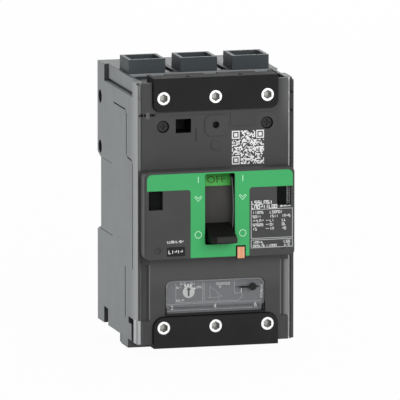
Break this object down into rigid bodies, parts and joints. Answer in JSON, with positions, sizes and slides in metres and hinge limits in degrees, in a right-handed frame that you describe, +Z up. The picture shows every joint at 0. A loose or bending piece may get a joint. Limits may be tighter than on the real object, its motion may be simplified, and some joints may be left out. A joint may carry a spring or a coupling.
{
  "type": "molded case circuit breaker",
  "caption": "Molded case circuit breaker for panel or rail mounting, with toggle handle, trip button, settings flap, clamp terminals and rotary contacts.",
  "frame": {"origin": "centre of the four mounting holes, on the rear mounting plane at mid height", "axes": "+X to the right seen from the front, +Y to the rear, out of the mounting plane, +Z up along the height"},
  "size_m": [0.081, 0.0989, 0.147],
  "materials": {
    "grey_plastic": "fine-grained light grey thermoset",
    "dark_plastic": "fine-grained dark grey thermoset",
    "black_plastic": "smooth black plastic",
    "green_plastic": "smooth green",
    "collar_plastic": "dark blue-grey plastic",
    "orange_plastic": "smooth salmon orange",
    "panel_plastic": "mid grey",
    "flap_clear": "clear smoked polycarbonate",
    "dial_plastic": "pale grey",
    "flag_green": "printed green",
    "flag_red": "printed red",
    "zinc_steel": "zinc plated",
    "plain_steel": "plain steel",
    "copper": "copper",
    "brass": "brass",
    "fibre": "vulcanised fibre",
    "rotor_plastic": "brown thermoset",
    "light_plastic": "off-white plastic",
    "spring_steel": "spring wire"
  },
  "bodies": {
    "case": {"base": "grey_plastic", "front_cover": "dark_plastic", "fascia_band": "dark_plastic", "green_bezel": "green_plastic", "accessory_shutters": "black_plastic", "rating_plate": "black_plastic", "upper_terminal_block": "black_plastic", "lower_terminal_block": "black_plastic", "line_terminal_screws": "zinc_steel", "load_terminal_screws": "zinc_steel", "line_collar_left": "collar_plastic", "line_collar_middle": "collar_plastic", "line_collar_right": "collar_plastic", "load_collar_left": "collar_plastic", "load_collar_middle": "collar_plastic", "load_collar_right": "collar_plastic", "line_lugs": "plain_steel", "load_lugs": "plain_steel", "clamp_pads": "zinc_steel", "cover_screws": "black_plastic", "mounting_inserts": "brass", "line_conductors": "copper", "load_conductors": "copper", "fixed_contact_tips": "zinc_steel", "upper_arc_plates": "plain_steel", "lower_arc_plates": "plain_steel", "arc_chute_walls": "fibre", "rotor_bearings": "light_plastic", "bimetals": "copper", "magnet_yokes": "plain_steel", "mechanism_side_plates": "plain_steel", "mechanism_pins": "zinc_steel", "cradle": "plain_steel", "settings_panel": "panel_plastic", "trip_button_spring": "spring_steel", "rail_latch_spring": "spring_steel"},
    "handle": {"toggle_lever": "black_plastic", "toggle_shutter": "dark_plastic", "off_flag": "flag_green", "on_flag": "flag_red", "handle_yoke": "plain_steel", "spring_pin": "zinc_steel", "main_spring": "spring_steel"},
    "rotor": {"rotor": "rotor_plastic", "contact_bridges": "copper", "moving_contact_tips": "zinc_steel", "contact_springs": "spring_steel", "crank_pin": "zinc_steel"},
    "lower_links": {"lower_links": "plain_steel"},
    "upper_links": {"upper_links": "plain_steel", "knee_pin": "zinc_steel"},
    "trip_button": {"trip_button": "orange_plastic"},
    "trip_bar": {"trip_bar": "light_plastic"},
    "armature_left": {"armature_left": "plain_steel"},
    "armature_middle": {"armature_middle": "plain_steel"},
    "armature_right": {"armature_right": "plain_steel"},
    "setting_dial": {"setting_dial": "dial_plastic"},
    "settings_flap": {"settings_flap": "flap_clear", "seal_catch": "black_plastic"},
    "rail_latch": {"rail_latch": "light_plastic"}
  },
  "joints": [
    {"name": "handle_swing", "type": "hinge", "parent": "case", "child": "handle", "pos_m": [0, -0.05, 0.0026], "axis": [-1, 0, 0], "range_deg": [0, 36], "deforming": ["main_spring"]},
    {"name": "rotor_turn", "type": "hinge", "parent": "case", "child": "rotor", "pos_m": [0, -0.022, 0], "axis": [-1, 0, 0], "range_deg": [0, 36]},
    {"name": "upper_link_turn", "type": "hinge", "parent": "case", "child": "upper_links", "pos_m": [0, -0.042, 0.006], "axis": [-1, 0, 0], "range_deg": [0, 36]},
    {"name": "lower_link_turn", "type": "hinge", "parent": "rotor", "child": "lower_links", "pos_m": [0, -0.03311, -0.00932], "axis": [-1, 0, 0], "range_deg": [-36, 0]},
    {"name": "trip_press", "type": "slide", "parent": "case", "child": "trip_button", "axis": [0, 1, 0], "range_m": [0, 0.0015], "stiffness_N_per_m": 600, "springref_m": -0.001, "deforming": ["trip_button_spring"]},
    {"name": "trip_bar_turn", "type": "hinge", "parent": "case", "child": "trip_bar", "pos_m": [0, -0.047, -0.027], "axis": [-1, 0, 0], "range_deg": [0, 10.9]},
    {"name": "armature_left_tilt", "type": "hinge", "parent": "case", "child": "armature_left", "pos_m": [-0.027, -0.0392, -0.0452], "axis": [-1, 0, 0], "range_deg": [0, 4], "stiffness_Nm_per_rad": 0.02, "springref_deg": -2.86},
    {"name": "armature_middle_tilt", "type": "hinge", "parent": "case", "child": "armature_middle", "pos_m": [0, -0.0392, -0.0452], "axis": [-1, 0, 0], "range_deg": [0, 4], "stiffness_Nm_per_rad": 0.02, "springref_deg": -2.86},
    {"name": "armature_right_tilt", "type": "hinge", "parent": "case", "child": "armature_right", "pos_m": [0.027, -0.0392, -0.0452], "axis": [-1, 0, 0], "range_deg": [0, 4], "stiffness_Nm_per_rad": 0.02, "springref_deg": -2.86},
    {"name": "dial_turn", "type": "hinge", "parent": "case", "child": "setting_dial", "pos_m": [-0.01335, -0.0779, -0.041], "axis": [0, -1, 0], "range_deg": [-70, 40]},
    {"name": "flap_open", "type": "hinge", "parent": "case", "child": "settings_flap", "pos_m": [0, -0.0786, -0.05], "axis": [1, 0, 0], "range_deg": [0, 90]},
    {"name": "latch_pull", "type": "slide", "parent": "case", "child": "rail_latch", "axis": [0, 0, -1], "range_m": [0, 0.004], "stiffness_N_per_m": 1200, "springref_m": -0.002, "deforming": ["rail_latch_spring"]}
  ],
  "couplings": [
    {"joint": "rotor_turn", "follows": "handle_swing", "ratio": 1},
    {"joint": "upper_link_turn", "follows": "handle_swing", "ratio": 1},
    {"joint": "lower_link_turn", "follows": "handle_swing", "ratio": -1},
    {"joint": "trip_bar_turn", "follows": "trip_press", "rad_per_m": 125.66}
  ]
}
